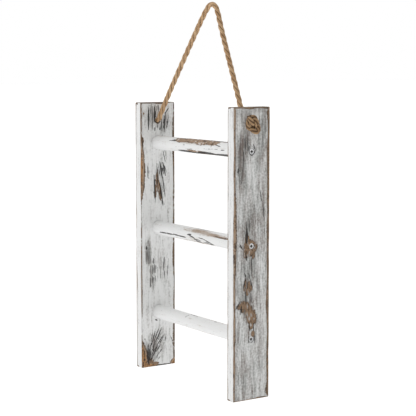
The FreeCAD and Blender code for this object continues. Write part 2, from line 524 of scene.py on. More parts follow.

# %% [markdown]
# ## Wear marks
#
# Wear is drawn where this ladder has it. A worn edge is a lens of bare wood along an edge: its middle, half
# width and half height. A spot is a rubbed patch: the same, and its lean. A thin area is where the grain
# shows through thin paint: its middle, half width, half height and how much thinner. A streak is dark grain
# or a crack, and a few are painted shade under a rung's end and round the screws: its upper end, lower end,
# width and strength. All are in millimetres, across from the rail's middle, with the front at minus, and up
# from the feet. The faces that the photograph hides get marks of the same kinds by a seeded draw, so that
# they come out the same each time.

# %% Marks on the left rail's inner face
LEFT_INNER_EDGES = (
    (-31, 308, 8.6, 56), (-31, 376, 3.4, 60), (-31, 0, 15, 48), (-31, 14, 4, 54), (-20, -2, 30, 9),
    (31, 0, 12, 13),
)
LEFT_INNER_SPOTS = (
    (-1.2, 291, 3.4, 16, 0), (2, 276, 3.6, 19, -0.22), (-5, 273, 2.4, 11, 0.05),
    (-25, 393, 1.6, 2.4, 0), (-27, 352, 2.4, 5, 0), (-16, 8, 8, 7, 0), (-6, 4, 6, 4, 0),
)
LEFT_INNER_THIN = (
    (-10, 388, 17, 26, 0.5), (10, 378, 14, 22, 0.48), (4, 292, 12, 42, 0.3), (-18.5, 183, 8, 27, 0.62),
    (-13, 150, 11, 38, 0.36), (7, 158, 12, 34, 0.3), (-13, 26, 13, 32, 0.6), (3, 34, 15, 34, 0.4),
)
LEFT_INNER_STREAKS = (
    # Above the top rung
    (-16, 403, -16.4, 368, 4.2, 0.55), (-12.2, 403, -12.2, 392, 1.8, 0.6),
    (-9.6, 404, -9.7, 366, 1.8, 0.65), (-5, 405, -5.2, 379, 2.6, 1), (0.8, 406, 1.1, 396, 2.2, 1),
    (13.6, 394, 11.4, 364, 2.8, 1), (20, 402, 14, 393, 2.2, 0.8), (19.4, 390, 16.1, 369, 2.4, 0.55),
    (7.3, 384, 6.2, 366, 2.2, 0.9), (4, 376, 4.6, 366, 1.6, 0.8), (-1.1, 377, -0.8, 370, 1.7, 0.8),
    (-5.2, 373, -5.3, 365, 1.5, 0.7),
    # Between the middle and top rungs
    (8.9, 336, 13.7, 317, 1.6, 0.7), (11, 340, 16, 322, 1.4, 0.5), (3.4, 319, 7.8, 293, 3.6, 1),
    (8.8, 318, 13.6, 297, 2.8, 1), (8.2, 296, 12.7, 264, 1.9, 0.9), (-2, 317, -0.5, 282, 2.1, 0.8),
    (-6.9, 299, -5, 260, 3.2, 0.9), (3.6, 286, 8.6, 254, 2.8, 0.9), (7.1, 261, 9, 251, 2.3, 0.9),
    (-17.8, 318, -18, 294, 2.6, 0.5),
    # Between the bottom and middle rungs
    (-21, 190, -21, 184, 4, 0.6), (-22, 183, -21.6, 162, 2.2, 0.5), (-18.6, 185, -18.2, 162, 2.4, 0.55),
    (-15.6, 182, -15, 160, 2, 0.55), (-8.4, 170, -8.2, 162, 2.4, 1), (-6.2, 161, -6, 147, 2.2, 1),
    (-10, 159, -10, 146, 2, 0.8), (-13.8, 159, -14, 142, 1.8, 0.65), (-14.3, 142, -14.4, 125, 2, 0.7),
    (-10, 142, -9.8, 132, 2.4, 1), (-5.8, 143, -5.6, 133, 1.9, 0.7), (-9.6, 132, -9.4, 121, 1.9, 0.65),
    (-1.6, 160, -0.8, 135, 1.4, 0.4), (3.8, 159, 4.6, 134, 1.7, 0.5), (10.8, 171, 9.4, 150, 2.2, 0.75),
    (10.6, 150, 11, 139, 2, 0.7), (18.4, 168, 15.4, 130, 1.8, 0.5),
    # Below the bottom rung; the first streak is a painted shadow just under the rung's end
    (-6, 74.2, -2.5, 72.8, 2.4, 0.9), (-25, 44, -24, -10, 22, 0.31), (-19, 36, -17.6, 4, 7.5, 0.46),
    (-15, 31, -14, 6, 5, 0.36), (-11.2, 56, -13.6, 40, 1.6, 0.55), (-5.7, 59, -10.6, 40, 1.7, 0.7),
    (0.9, 61, -8.8, 40, 1.8, 0.8), (5.7, 60, -5.7, 39, 1.9, 0.9), (8.2, 48, -3.9, 32, 1.7, 0.8),
    (13, 46, 12.6, 39, 1.6, 0.7), (7, 42, 0.9, 34, 1.7, 0.8), (10.6, 37, 5.7, 29, 1.5, 0.5),
    (-6.3, 42, -11.2, 26, 1.8, 0.9), (-1.5, 33, -8.8, 25, 1.8, 0.9), (5.7, 27, 0.9, 20, 1.6, 0.6),
    (-8.8, 32, -11.2, 17, 1.7, 0.8), (-3.9, 29, -10, 17, 1.8, 0.9), (0.5, 22, -6, 11, 1.6, 0.6),
    (-12.5, 40, -16.5, 26, 1.7, 0.7), (-7.5, 13, -11.2, 7, 1.6, 0.7), (3, 54, -3, 42, 1.7, 0.7),
    (11, 50, 6, 42, 1.6, 0.6), (-9, 50, -13, 33, 1.7, 0.7), (3.5, 34, -4, 24, 1.7, 0.7),
    (9, 30, 4, 23, 1.5, 0.45), (-14.5, 24, -16.5, 12, 1.8, 0.7), (-10, 22, -13.5, 10, 1.8, 0.8),
    (3, 16, -2, 9, 1.6, 0.5), (20.3, 48, 26.3, 35, 1.4, 0.45), (23.9, 39, 27.5, 26, 1.3, 0.4),
    (-6, 1.4, 23, 1.4, 3, 0.9),
)
print("left inner streaks", len(LEFT_INNER_STREAKS))

# %% Marks on the right rail's outer face
RIGHT_OUTER_EDGES = ((-31, 235, 6, 112), (31, 409, 6, 9))
RIGHT_OUTER_SPOTS = (
    (-3, 216, 13, 12, 0), (-10.5, 208, 4.6, 7, 0), (2.8, 205, 3.2, 6, 0), (-8, 228, 4, 8, 0),
    (-11.4, 164, 2.6, 9, 0.12), (-4.2, 161, 3.2, 9, -0.1), (-7.8, 154, 2.8, 6, 0),
    (-0.2, 160, 1.8, 5, 0), (-16, 136, 8, 6, 0.8), (-8, 130, 10, 13, -0.5), (-1, 119, 10, 13, -0.3),
    (-1, 106, 4.6, 6, 0), (2.4, 94, 3.8, 5, 0),
)
RIGHT_OUTER_THIN = (
    (-18, 335, 11, 48, 0.42), (-10, 360, 9, 22, 0.38), (18, 378, 11, 42, 0.3), (2, 250, 26, 34, 0.2),
    (-6, 190, 14, 40, 0.3), (-6, 140, 16, 32, 0.3), (-12, 38, 10, 32, 0.15), (3, 318, 10, 36, -0.11),
    (-21, 388, 8, 22, -0.12), (4, 398, 16, 9, -0.3), (18, 190, 9, 60, -0.08), (-14, 90, 12, 40, -0.08),
)
RIGHT_OUTER_STREAKS = (
    # Along the rubbed patches
    (-8.9, 253, -8.8, 236, 1.8, 0.6), (-4.2, 254, -4.4, 238, 2, 0.6), (-8.6, 243, -8.4, 222, 6, 0.75),
    (-10, 209, -8.9, 198, 2.4, 0.8), (0.7, 206, -0.9, 183, 2.2, 0.7), (-12.4, 181, -9, 174, 2.2, 0.8),
    (-4.8, 181, -3.2, 172, 2, 0.6), (-0.7, 185, -0.5, 176, 1.6, 0.5), (-9.6, 174, -14.4, 158, 2.2, 0.7),
    (-2.6, 172, 1.6, 158, 2, 0.6), (-7.6, 170, -7.4, 158, 1.8, 0.6), (-10.3, 154, -9.2, 136, 2.6, 0.8),
    (-1.4, 152, -0.6, 138, 2, 0.6), (-19, 142, -27, 131, 2, 0.9), (-17, 136, -18.6, 124, 2.2, 0.9),
    (-4.3, 111, -2.7, 98, 2.2, 0.8), (3.4, 108, 3.8, 97, 2, 0.6),
    # Higher up
    (-11.8, 372, -11.7, 346, 2.4, 0.42), (-8.3, 372, -8, 349, 2, 0.42), (-20, 367, -20, 336, 2, 0.6),
    (-14.3, 351, -15.1, 319, 2.6, 0.42), (-15.1, 329, -18.4, 303, 2.6, 0.42),
    (-21.8, 328, -23.4, 319, 2.2, 0.9), (13.9, 294, 16.3, 279, 1.6, 0.9),
    (18.6, 279, 20.9, 252, 1.7, 0.7),
    # At the screws, painted shade round their sunk mouths; round the top screw it is partly cracked paint
    (-5.2, 357, -5, 347, 1.8, 1), (2, 359, 5.6, 349, 1.8, 1), (-5, 347, -0.5, 343, 1.8, 1),
    (5.6, 349, -0.5, 343, 1.8, 1), (-20.6, 222, -15.5, 214, 2.2, 0.9), (-4.4, 92, -4.6, 81, 1.8, 0.8),
    (5.2, 93, 5, 81, 1.8, 0.8),
)
print("right outer streaks", len(RIGHT_OUTER_STREAKS))

# %% Drawn marks for the faces out of sight
FACE_STREAKS = 30
FACE_REACH = 27
STREAK_HEIGHTS = (30, 400)
EDGE_PLACES = ((-31, 4, 9), (31, 3, 7))
EDGES_EACH = 2
SPOT_GROUPS = 2
GROUP_SPOTS = 6
THIN_AREAS = 6
THIN_WIDTH = 14
LEFT_OUTER_SEED = 3
RIGHT_INNER_SEED = 8


def drawn_streaks(draw, count, reach, heights):
    """Streaks along the grain, within a reach to both sides of the middle."""
    streaks = []
    for _ in range(count):
        across = draw.uniform(-reach, reach)
        height = draw.uniform(*heights)
        end = across + draw.uniform(-0.1, 0.1) * reach
        fall = draw.uniform(8, 38)
        width = draw.uniform(1.3, 2.4)
        strength = draw.uniform(0.4, 0.9)
        streaks.append((across, height, end, height - fall, width, strength))
    return streaks


def drawn_marks(seed):
    """Marks of the four kinds for one face: the spots come in ragged groups along the grain."""
    draw = random.Random(seed)
    edges = []
    for across, narrowest, widest in EDGE_PLACES:
        for _ in range(EDGES_EACH):
            height = draw.uniform(60, 350)
            half_width = draw.uniform(narrowest, widest)
            half_height = draw.uniform(20, 50)
            edges.append((across, height, half_width, half_height))
    spots = []
    for _ in range(SPOT_GROUPS):
        across = draw.uniform(-16, 16)
        height = draw.uniform(70, 340)
        for _ in range(GROUP_SPOTS):
            middle = (across + draw.gauss(0, 5), height + draw.gauss(0, 17))
            half_size = (draw.uniform(2, 6), draw.uniform(5, 15))
            lean = draw.uniform(-0.3, 0.3)
            spots.append((*middle, *half_size, lean))
    thin = []
    for _ in range(THIN_AREAS):
        middle = (draw.uniform(-24, 24), draw.uniform(20, 390))
        half_height = draw.uniform(25, 45)
        amount = draw.uniform(0.1, 0.5)
        thin.append((*middle, THIN_WIDTH, half_height, amount))
    return edges, spots, thin, drawn_streaks(draw, FACE_STREAKS, FACE_REACH, STREAK_HEIGHTS)


rail_marks = {
    ("left", "inner"): (LEFT_INNER_EDGES, LEFT_INNER_SPOTS, LEFT_INNER_THIN, LEFT_INNER_STREAKS),
    ("left", "outer"): drawn_marks(LEFT_OUTER_SEED),
    ("right", "inner"): drawn_marks(RIGHT_INNER_SEED),
    ("right", "outer"): (RIGHT_OUTER_EDGES, RIGHT_OUTER_SPOTS, RIGHT_OUTER_THIN, RIGHT_OUTER_STREAKS),
}
print("marks", {face: [len(kind) for kind in kinds] for face, kinds in rail_marks.items()})

# %% [markdown]
# ## From marks to wear
#
# Each kind of mark becomes a number on every point: how thick the wash is, how bare an edge, how far inside
# a spot, how dark the stains; a few thin areas and streaks are painted shade. A painted picture could hold
# them too, but numbers on points need no unwrapping, and the same numbers press the wear into the wood.

# %% Marks as fields over the points of a face
STREAK_TIP = 0.35
COMPANION_WIDTH = 0.6
EDGE_UNIT = 8.0


def streak_field(across, height, streaks):
    """How dark the streaks make each point: a spindle that is darkest along its middle."""
    field = np.zeros_like(across)
    for start_u, start_h, end_u, end_h, width, strength in streaks:
        run_u = end_u - start_u
        run_h = end_h - start_h
        along = ((across - start_u) * run_u + (height - start_h) * run_h) / (run_u ** 2 + run_h ** 2)
        along = np.clip(along, 0, 1)
        off = np.hypot(across - start_u - along * run_u, height - start_h - along * run_h)
        half = width / 2 * (STREAK_TIP + (1 - STREAK_TIP) * np.sin(pi * along))
        field = np.maximum(field, strength * np.clip(2 - 2 * off / half, 0, 1))
    return field


def edge_field(across, height, edges):
    """How far inside a worn edge each point lies: lens shapes, 0 at the rim and 1 at 8 mm inside it."""
    field = np.full_like(across, -1.0)
    for middle_u, middle_h, wide, tall in edges:
        lens = 1 - np.abs(across - middle_u) / wide - ((height - middle_h) / tall) ** 2
        field = np.maximum(field, lens * wide / EDGE_UNIT)
    return field


def spot_field(across, height, spots, limit):
    """How far inside a spot each point lies: 1 at the middle, 0 at the rim and below 0 outside."""
    field = np.full_like(across, -1.0)
    for middle_u, middle_h, wide, tall, lean in spots:
        rise = height - middle_h
        field = np.maximum(field, 1 - np.hypot((across - middle_u - lean * rise) / wide, rise / tall))
    return np.minimum(field, limit)


def thin_and_shade_field(across, height, areas):
    """Thinner paint at each point, softly from each area's middle; some areas on the rungs are painted
    shade.
    """
    field = np.zeros_like(across)
    for middle_u, middle_h, wide, tall, amount in areas:
        near = np.clip(1 - np.hypot((across - middle_u) / wide, (height - middle_h) / tall), 0, 1)
        field += amount * near * (2 - near)
    return field


def with_companions(streaks, seed):
    """The streaks, each with two fainter ones beside it, because grain comes in bundles."""
    draw = random.Random(seed)
    bundle = list(streaks)
    for start_u, start_h, end_u, end_h, width, strength in streaks:
        for side in (-1, 1):
            aside = side * draw.uniform(1.6, 3.2)
            from_start = (end_h - start_h) * draw.uniform(0.0, 0.35)
            from_end = (end_h - start_h) * draw.uniform(-0.45, 0.1)
            ends = (start_u + aside, start_h + from_start, end_u + aside, end_h + from_end)
            fainter = strength * draw.uniform(0.25, 0.55)
            bundle.append((*ends, width * COMPANION_WIDTH, fainter))
    return bundle


print("across a spot", spot_field(np.array((0.0, 4.0, 8.0)), np.zeros(3), ((0, 0, 8, 8, 0),), 1))

# %% Keep and press in the wear
STREAK_DEPTH = 0.30 * MM
PATCH_DEPTH = 0.22 * MM
DENT_DEPTH = 0.16 * MM
CHIP_DEPTH = 0.9 * MM
RUB_RISE = 3


def vectors_of(mesh, kind):
    """The places or the normals of a mesh's points, as rows of an array."""
    values = np.empty(len(mesh.vertices) * 3)
    mesh.vertices.foreach_get(kind, values)
    return values.reshape(-1, 3)


def ripple(places, scale):
    """Smooth noise at each point, from about -1 to 1."""
    return np.array([noise.noise(Vector(place) * Vector(scale)) for place in places])


def press(mesh, fields, chips, dents):
    """Keeps the wear on the mesh's points and presses it into the wood along the normals."""
    rubbed = np.clip(RUB_RISE * np.maximum(fields["bare"], fields["spot"]), 0, 1)
    depth = STREAK_DEPTH * fields["stain_and_shade"] + PATCH_DEPTH * rubbed
    depth += DENT_DEPTH * np.clip(dents, 0, 1) + CHIP_DEPTH * chips
    pressed = vectors_of(mesh, "co") - vectors_of(mesh, "normal") * depth[:, None]
    mesh.vertices.foreach_set("co", pressed.ravel())
    for name, values in fields.items():
        store(mesh, name, values)
    mesh.shade_smooth()


print("cracks", STREAK_DEPTH / MM, "mm deep, chips", CHIP_DEPTH / MM)

# %% Wear on a broad face of a rail
# Paint left, where 1 is a full coat, wear's width at front, back and ends, and its limits at front and back
FACE_WEAR = {
    ("left", "inner"): (0.92, 1.9, 4.2, 2.4, 0.16, 0.14),
    ("left", "outer"): (0.72, 2.6, 2.6, 2.2, 0.3, 0.3),
    ("right", "inner"): (0.86, 2.2, 2.2, 2.2, 0.3, 0.3),
    ("right", "outer"): (0.505, 3.4, 5.2, 2.2, 0.36, 0.22),
}
RAIL_SPOT_LIMIT = 0.32


def face_wear(side_name, face, across, height, to_ends, edge):
    """The wear fields on one broad face of a rail."""
    edges, spots, thin, streaks = rail_marks[side_name, face]
    wash_and_shade, front, back, end, front_limit, back_limit = FACE_WEAR[side_name, face]
    width = np.where(to_ends, end, np.where(across < 0, front, back))
    limit = np.where(across < 0, front_limit, back_limit)
    return {
        "wash_and_shade": wash_and_shade - thin_and_shade_field(across, height, thin),
        "bare": np.maximum(np.minimum(1 - edge / width, limit), edge_field(across, height, edges)),
        "spot": spot_field(across, height, spots, RAIL_SPOT_LIMIT),
        "stain_and_shade": streak_field(across, height, with_companions(streaks, len(streaks))),
    }


print("faces with marks", list(FACE_WEAR))

# %% Wear on a rail
NARROW_WASH = 1.0
# Width of the wear along the left and right edges of the narrow front and back
NARROW_WEAR = {-1: 3.0, 1: 1.1}
NARROW_LIMIT = 0.25
END_BARE = 0.3
END_STAIN = 0.38
INSIDE_FROM = 0.7
INSIDE_STAIN = 0.7
EDGE_RAGGED = 0.5
EDGE_WAVES = (60, 60, 25)
EDGE_BREAKS = (60, 60, 30)
BACK_STREAKS = 16
BACK_REACH = 6
CHIP_REACH = 2.5
CHIP_WAVES = (70, 70, 45)
CHIP_LEVEL = 0.2
RAIL_DENTS = (60, 60, 14)


def wear_rail(mesh, side_name):
    """Works out a rail's wear face by face and presses it in."""
    places = vectors_of(mesh, "co")
    across = (places[:, 1] - middle_y) / MM
    height = (places[:, 2] - feet_z) / MM
    beyond = np.abs(places[:, 0]) - (inner_x + outer_x) / 2
    off_middle = np.column_stack((beyond, places[:, 1] - middle_y, places[:, 2] - middle_z))
    gaps = (np.array(rail_size) / 2 - np.abs(off_middle)) / MM
    nearest = gaps.argmin(axis=1)
    inside = gaps.min(axis=1) > INSIDE_FROM
    edge = np.sort(gaps, axis=1)[:, 1]
    edge = edge * (1 - EDGE_RAGGED * ripple(places, EDGE_WAVES))
    edge += np.clip(2 * ripple(places, EDGE_BREAKS), 0, 1)
    to_left = places[:, 0] < SIDES[side_name] * (inner_x + outer_x) / 2
    narrow = np.where(to_left, NARROW_WEAR[-1], NARROW_WEAR[1])
    back_streaks = drawn_streaks(random.Random(side_name), BACK_STREAKS, BACK_REACH, STREAK_HEIGHTS)
    back_stain = np.where(across > 0, streak_field(beyond / MM, height, back_streaks), 0)
    fields = {
        "wash_and_shade": np.full(len(places), NARROW_WASH),
        "bare": np.where(nearest == 2, END_BARE, np.minimum(1 - edge / narrow, NARROW_LIMIT)),
        "spot": np.full(len(places), -1.0),
        "stain_and_shade": np.where(nearest == 2, END_STAIN, back_stain),
    }
    for face, on_face in (("inner", beyond < 0), ("outer", beyond > 0)):
        broad = on_face & (nearest == 0)
        to_ends = gaps[broad, 2] < gaps[broad, 1]
        worn = face_wear(side_name, face, across[broad], height[broad], to_ends, edge[broad])
        for name, values in worn.items():
            fields[name][broad] = values
    fields["bare"][inside] = END_BARE
    fields["stain_and_shade"][inside] = INSIDE_STAIN
    chips = np.clip(1 - edge / CHIP_REACH, 0, 1) * np.clip(ripple(places, CHIP_WAVES) - CHIP_LEVEL, 0, 1)
    press(mesh, fields, chips, ripple(places, RAIL_DENTS))


print("streaks drawn on a rail's back", BACK_STREAKS)

# %% Make both rails
rails = {}
for side_name, side in SIDES.items():
    box_low, box_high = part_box(side_name + "_rail")
    cutters = [bar(ROPE_HOLE_RADIUS, box_low.x - CUT_MARGIN, box_high.x + CUT_MARGIN, hole.z)]
    for height in rung_heights.values():
        mouth = side * (inner_x - CUT_MARGIN)
        floor_x = side * (inner_x + SOCKET_DEPTH)
        cutters += [bar(SOCKET_RADIUS, mouth, floor_x, height), screw_bore(side, height)]
    rail_mesh = carved(board(box_low, box_high), cutters)
    wear_rail(rail_mesh, side_name)
    rails[side_name] = add_object(side_name + "_painted_rail", rail_mesh)
    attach(rails[side_name], "ladder")
    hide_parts(side_name + "_rail")
    print(side_name, "rail faces", len(rail_mesh.polygons))

# %% [markdown]
# ## Rungs
#
# A rung is a round bar whose paint is scraped off in long strips, mostly along its top and underside. The
# bar comes from a cone with equal ends, divided along its length. Its marks are lists of the same kinds as
# the rails' marks, in millimetres along the bar and around it from the front, up over the top. Some thin
# areas are painted shade: along the middle and bottom rungs' undersides and the middle rung's top edge. The
# back, which the photograph hides, gets drawn streaks.

# %% Marks on the rungs
RUNG_SPOTS = {
    "top": (
        (-38, 8.8, 20, 4.8, 0), (-12, 9.9, 26, 5.7, 0), (16, 9.9, 26, 7.4, 0), (44, 9.4, 20, 6.4, 0),
        (-4, -8.6, 24, 3.4, 0), (12, -8.2, 16, 3, 0), (36, -14.5, 38, 2.6, 0),
    ),
    "middle": ((70, 5.7, 22, 1.3, 0), (20, 31, 26, 3, 0)),
    "bottom": ((-50, -26, 22, 3, 0),),
}
RUNG_THIN_AND_SHADE = {
    "top": ((-80, 14.7, 50, 3.7, 0.5), (60, 13.8, 60, 4.6, 0.4), (-4, 7.3, 62, 6.2, 0.4)),
    "middle": (
        (-8, 9.5, 38, 6, 0.75), (28, 8.6, 42, 7, 0.85), (62, 7, 40, 3.4, 0.75),
        # The areas at 17.2 and -15 around, along the top edge and the underside, are painted shade
        (0, 17.2, 125, 3.2, 0.5), (10, -6.2, 46, 5.5, 0.3), (0, -15, 125, 8, 0.6),
    ),
    # The area at -15 around, along the underside, is painted shade
    "bottom": ((-14, 7.5, 14, 3, 0.25), (0, -15, 125, 8, 0.7), (40, 17, 70, 4, 0.3)),
}
RUNG_STREAKS = {
    "top": (
        (-69, 5.9, -51, 7.1, 1.5, 0.95), (-58, 6.6, -51, 7.1, 2.4, 1), (25, 14.7, 78, 13.2, 1.8, 0.6),
        (55, 5.7, 70, 3.7, 1.7, 0.8), (26, -1.5, 66, -0.4, 1.3, 0.4), (70, -1.1, 79, -0.7, 1.5, 0.75),
        (-49, -2.7, -24, -1.3, 1.1, 0.3), (-28, 1.5, -24, 1.5, 1.5, 0.5),
        (-24, -4.8, -4, -3.7, 2.4, 0.4), (-46, -8.6, -4, -10.6, 6, 1), (-16, -11.4, 22, -11.6, 5, 0.8),
        (46, 14.6, 104, 13.4, 3.6, 0.8), (8, -9, 62, -11.4, 10, 1), (40, -11.2, 112, -10.4, 9, 1),
    ),
    "middle": (
        (-96, -4.6, -75, -4, 2.6, 0.95), (-79, -4, -57, -4, 2.6, 1), (-57, -3.1, -38, -4, 2.6, 1),
        (-44, -4, -22, -4.2, 2.8, 1), (-17, 0.6, -7, 1.8, 3, 1), (-11, -0.2, 1, -2.2, 2.8, 1),
        (-2, -1.8, 8, -6.6, 2.4, 0.9), (5, -6, 20, -10.4, 2.8, 1), (12, -0.4, 29, -1.7, 2, 0.7),
        (26, -1.5, 48, -7.3, 2.1, 0.8), (22, -7.8, 37, -6.2, 2, 0.8), (30, -8.6, 49, -7.2, 2, 0.8),
        (38, -9.6, 51, -7.8, 1.8, 0.7), (-1, -5.2, 11, -4, 1.8, 0.8), (9, -4, 17, -6, 1.8, 0.8),
        (3, -7.8, 15, -8.2, 2, 0.8), (52, 7, 64, 4.9, 1.6, 0.6), (62, 4.9, 88, 6.2, 1.5, 0.55),
        (-10, 16.5, 30, 15, 1.7, 0.6), (-75, 18.3, -10, 18, 1.3, 0.35),
    ),
    "bottom": (
        (-26.5, 6.2, -25, 9.5, 1.3, 0.75), (-25, 9.5, -22, 11.7, 1.2, 0.7),
        (-17, 6.8, -10, 5.1, 1, 0.35), (-21, 15.2, -3, 15, 1.7, 0.75), (43, 14.3, 48, 14.7, 1.3, 0.7),
    ),
}
print("rung streaks", {name: len(streaks) for name, streaks in RUNG_STREAKS.items()})

# %% Wear on a rung
RUNG_WASH = 1.12
RUNG_SPOT_LIMIT = 0.5
RUNG_DENTS = (14, 60, 60)
BACK_MIDDLE = 28.0
BACK_ALONG = (-70, 110)
RUNG_STREAK_COUNT = 8
RUNG_STREAK_REACH = 5


def wear_rung(mesh, name):
    """Works out a rung's wear and presses it in."""
    low, high = rung_boxes[name]
    places = vectors_of(mesh, "co")
    along = places[:, 0] / MM
    turn = np.arctan2(places[:, 2] - rung_heights[name], middle_y - places[:, 1])
    around = turn * (high.z - low.z) / 2 / MM
    drawn = drawn_streaks(random.Random(name), RUNG_STREAK_COUNT, RUNG_STREAK_REACH, BACK_ALONG)
    back = [
        (start, BACK_MIDDLE + across, end, BACK_MIDDLE + finish, width, strength)
        for across, start, finish, end, width, strength in drawn
    ]
    fields = {
        "wash_and_shade": RUNG_WASH - thin_and_shade_field(along, around, RUNG_THIN_AND_SHADE[name]),
        "bare": np.full(len(places), -1.0),
        "spot": spot_field(along, around, RUNG_SPOTS[name], RUNG_SPOT_LIMIT),
        "stain_and_shade": streak_field(along, around, list(RUNG_STREAKS[name]) + back),
    }
    press(mesh, fields, np.zeros(len(places)), ripple(places, RUNG_DENTS))


print("streaks drawn on a rung's back", RUNG_STREAK_COUNT)

# %% Make the rungs
RUNG_CELL = 1.0 * MM
RUNG_STEPS = 96

rungs = {}
for name, height in rung_heights.items():
    low, high = rung_boxes[name]
    shape = bar((high.z - low.z) / 2, low.x, high.x, height, RUNG_STEPS)
    divide(shape, 0, high.x - low.x, RUNG_CELL)
    bores = [screw_bore(side, height) for side in SIDES.values()]
    rung_mesh = carved(mesh_from(shape, name), bores)
    wear_rung(rung_mesh, name)
    rungs[name] = add_object(name + "_painted_rung", rung_mesh)
    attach(rungs[name], "ladder")
    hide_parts(name + "_rung")
    print(name, "rung faces", len(rung_mesh.polygons))

# %% [markdown]
# ## Finishes
#
# A finish is a material whose nodes say how colour, roughness and small relief change over a piece. Sums
# and products of node outputs read best as plain expressions, so a small class wraps an output and makes
# the Math nodes. Every other node comes from its one method.


# %% Node outputs as values
class Wire:
    """An output of a finish's nodes, on which expressions make Math nodes."""

    def __init__(self, tree, socket=None):
        self.tree = tree
        self.socket = socket

    def node(self, kind, settings=None, sockets=None, output=0):
        """Adds a node, applies its settings, then fills or links its sockets."""
        made = self.tree.nodes.new(kind)
        for name, value in (settings or {}).items():
            setattr(made, name, value)
        for key, value in (sockets or {}).items():
            if isinstance(value, Wire):
                self.tree.links.new(value.socket, made.inputs[key])
            else:
                made.inputs[key].default_value = value
        return Wire(self.tree, made.outputs[output])

    def maths(self, operation, first, second=0.0):
        """A Math node on two values."""
        return self.node("ShaderNodeMath", {"operation": operation}, {0: first, 1: second})

    def __add__(self, other):
        return self.maths("ADD", self, other)

    def __sub__(self, other):
        return self.maths("SUBTRACT", self, other)

    def __rsub__(self, other):
        return self.maths("SUBTRACT", other, self)

    def __mul__(self, other):
        return self.maths("MULTIPLY", self, other)

    def __abs__(self):
        return self.maths("ABSOLUTE", self)

    __radd__ = __add__
    __rmul__ = __mul__


print("a node's output is wrapped by", Wire.__name__)


# %% Steps that finishes share
def new_finish(name):
    """A material with its shader, and a wire to start its nodes from."""
    material = bpy.data.materials.new(name)
    material.use_nodes = True
    return material, material.node_tree.nodes["Principled BSDF"], Wire(material.node_tree)


def speckle(place, scale, detail=3.0):
    """Noise about 0, stretched by its three scales."""
    stretched = place.node("ShaderNodeMapping", {}, {"Vector": place, "Scale": scale})
    return place.node("ShaderNodeTexNoise", {}, {"Vector": stretched, "Scale": 1.0, "Detail": detail}) - 0.5


def fade(value, low, high):
    """A smooth rise from 0 at low to 1 at high."""
    smooth = {"interpolation_type": "SMOOTHSTEP"}
    return value.node("ShaderNodeMapRange", smooth, {"Value": value, "From Min": low, "From Max": high})


def blend(factor, first, second):
    """The first colour where the factor is 0, the second where it is 1."""
    return factor.node("ShaderNodeMix", {"data_type": "RGBA"}, {0: factor, 6: first, 7: second}, output=2)


def relief(height, distance):
    """A normal that shows a small relief."""
    return height.node("ShaderNodeBump", {}, {"Height": height, "Distance": distance, "Strength": 1.0})


def kept(start, name):
    """A number kept on the piece's points."""
    return start.node("ShaderNodeAttribute", {"attribute_name": name}, output="Fac")


def part_of(place, axis):
    """One coordinate of a place."""
    return place.node("ShaderNodeSeparateXYZ", {}, {0: place}, output=axis)


def feed(shader, name, value):
    """Links a value to one of a shader's inputs."""
    value.tree.links.new(value.socket, shader.inputs[name])


def dress(pieces, finish):
    """Gives pieces their finish."""
    for piece in pieces:
        piece.data.materials.clear()
        piece.data.materials.append(finish)


print("steps", [step.__name__ for step in (speckle, fade, blend, relief, kept, part_of, feed, dress)])

# %% [markdown]
# ## Whitewashed wood
#
# Thin white paint over brown wood: brushed streaks of thicker and thinner paint, dark grain where it is
# thin, and bare wood in the spots and along the edges. Bare wood is tan where it is rubbed most and dark
# along the rim of the paint. The fields kept on the points say how much of each there is, and noises of
# several sizes are weighed into each field to break up its outlines. A few thin areas and dark streaks
# are painted shade in the same colours.

# %% Colours of the wood and paint
FULL_PAINT = (0.84, 0.84, 0.845, 1)
THIN_GREY = (0.19, 0.188, 0.178, 1)
THIN_BROWN = (0.18, 0.145, 0.13, 1)
THIN_TAN = (0.40, 0.31, 0.245, 1)
STAIN_AND_SHADE_BROWN = (0.016, 0.012, 0.011, 1)
WOOD_TAN = (0.43, 0.225, 0.095, 1)
WOOD_PALE = (0.41, 0.31, 0.235, 1)
WOOD_BROWN = (0.295, 0.19, 0.118, 1)
RUNG_BROWN = (0.37, 0.255, 0.175, 1)
WOOD_DARK = (0.06, 0.038, 0.026, 1)
print("white paint", FULL_PAINT[:3], "brown wood", WOOD_BROWN[:3])

# %% Whitewash on rails and rungs
RAIL_GRAIN = Vector((230, 230, 24))
RUNG_GRAIN = Vector((24, 230, 230))
HAIR_FINER = 2.6
EVEN = Vector((1, 1, 1))
MOTTLE_SCALE = 340
CLOUD_SCALE = 25
BLOTCH_SCALE = 100
STAIN_AND_SHADE_RISE = (0.16, 0.5)
BARE_RISE = (0.0, 0.12)
FLAKE_RISE = (0.09, 0.17)
TINT_RISE = (-0.1, 0.1)
PAINT_RISE = (-0.15, 1.05)
PALE_RISE = (0.24, 0.38)
TAN_RISE = (0.45, 0.65)
FIBRE_RISE = (0.0, 0.34)
EDGE_RIM = (0.1, 0.3)
SPOT_RIM = (0.05, 0.3)
FLAKE_STRENGTH = 0.7
FIBRE_STRENGTH = 0.85
RIM_STRENGTH = 0.75
STAIN_AND_SHADE_STRENGTH = 0.95
PAINT_ROUGHNESS = 0.62
BARE_ROUGHER = 0.16
WOOD_RELIEF = 0.25 * MM


